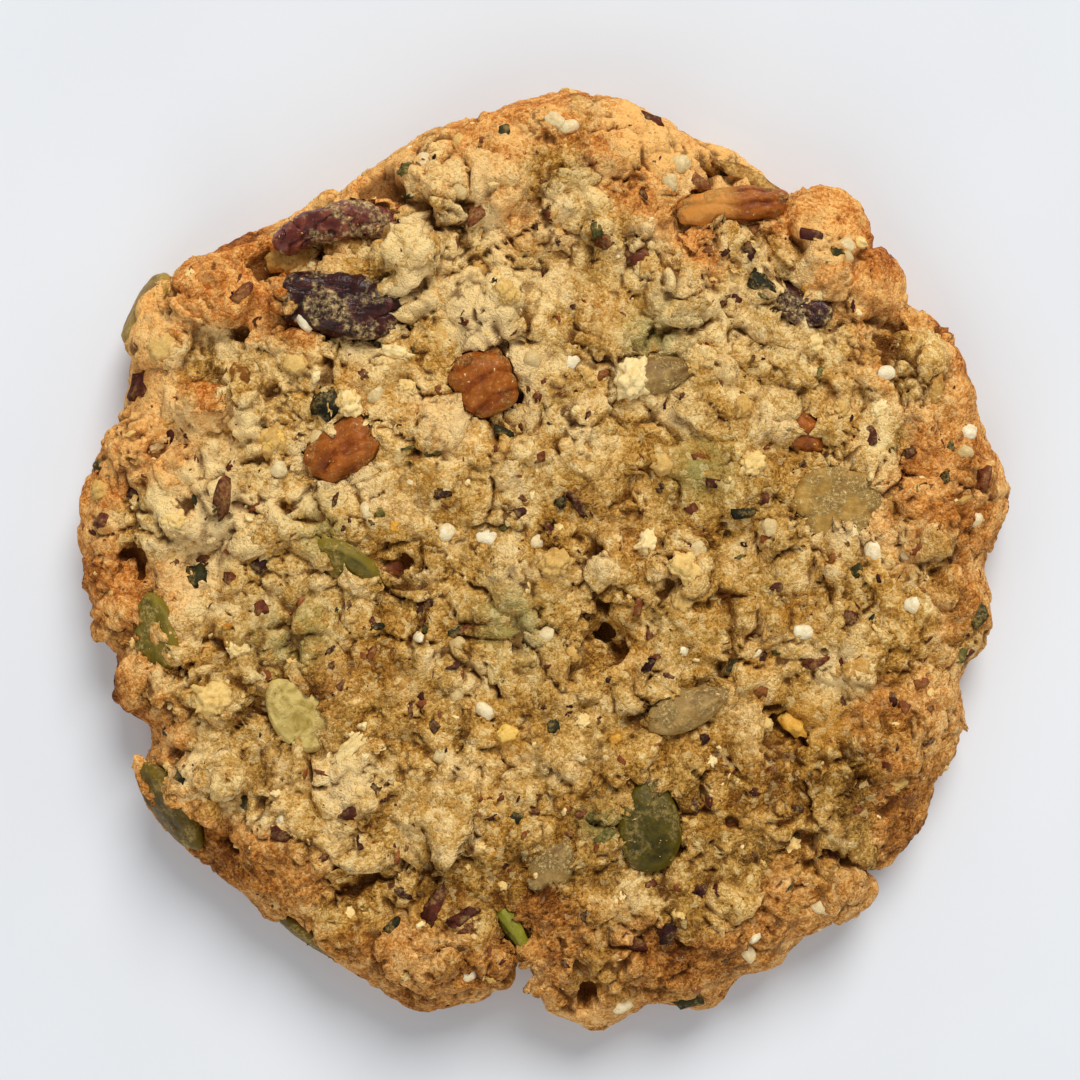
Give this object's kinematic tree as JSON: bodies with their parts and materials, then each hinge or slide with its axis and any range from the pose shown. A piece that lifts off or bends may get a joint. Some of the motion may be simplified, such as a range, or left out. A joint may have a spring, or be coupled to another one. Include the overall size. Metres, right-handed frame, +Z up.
{
  "type": "breakfast cookie",
  "caption": "Thick round baked breakfast cookie with pecans, pumpkin seeds, sunflower kernels and dried fruit set in its craggy top, flat underneath.",
  "frame": {"origin": "middle of the flat underside, on the surface the cookie lies on", "axes": "+Z up through the thickness, +Y towards the lobe at the back edge, +X to the right seen from above"},
  "size_m": [0.0948, 0.0954, 0.0141],
  "materials": {
    "dough": "baked crumb",
    "pumpkin_seed": "satin",
    "sunflower_kernel": "matte",
    "pecan": "ridged satin skin",
    "dried_fruit": "sticky sheen",
    "oat_flake": "matte"
  },
  "bodies": {
    "root": {"cookie": "dough", "pepita_front": "pumpkin_seed", "pepita_left": "pumpkin_seed", "pepita_split": "pumpkin_seed", "pepita_middle": "pumpkin_seed", "pepita_edge": "pumpkin_seed", "pepita_rim_front": "pumpkin_seed", "pepita_rim_corner": "pumpkin_seed", "pepita_rim_back": "pumpkin_seed", "sunflower_right": "sunflower_kernel", "sunflower_upper": "sunflower_kernel", "sunflower_lower": "sunflower_kernel", "pecan_middle": "pecan", "pecan_left": "pecan", "pecan_long": "pecan", "pecan_bit": "pecan", "fruit_slab": "dried_fruit", "fruit_bit": "dried_fruit", "fruit_fold": "dried_fruit", "oat_flake": "oat_flake"}
  },
  "joints": []
}
